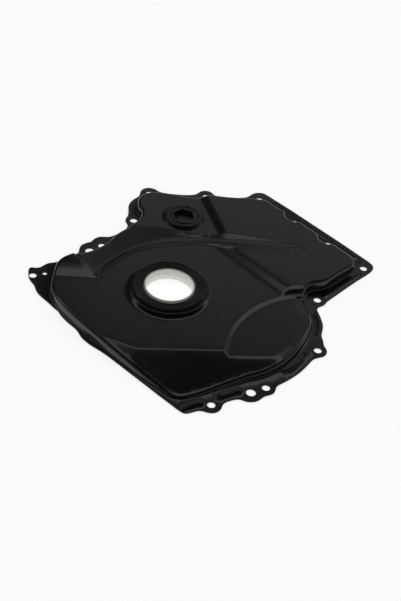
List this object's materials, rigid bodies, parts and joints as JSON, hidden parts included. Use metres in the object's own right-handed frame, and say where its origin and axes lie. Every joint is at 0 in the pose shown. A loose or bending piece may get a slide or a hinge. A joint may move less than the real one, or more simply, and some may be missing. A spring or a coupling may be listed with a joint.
{
  "type": "timing cover",
  "caption": "Pressed sheet timing cover with bolt flange, stepped and ribbed face, crank shaft seal in a raised collar and a hexagon inspection plug.",
  "frame": {"origin": "centre of the bounding box at the flange's gasket side", "axes": "+Z out of the engine along the crank axis, +Y up the engine, +X to the right as seen from outside"},
  "size_m": [0.3168, 0.3166, 0.019],
  "materials": {
    "painted_steel": "satin black paint",
    "seal_rubber": "matt",
    "white_plastic": "translucent white",
    "plug_plastic": "satin"
  },
  "bodies": {
    "root": {"cover": "painted_steel", "shaft_seal": "seal_rubber", "fitting_sleeve": "white_plastic", "inspection_plug": "plug_plastic"}
  },
  "joints": []
}
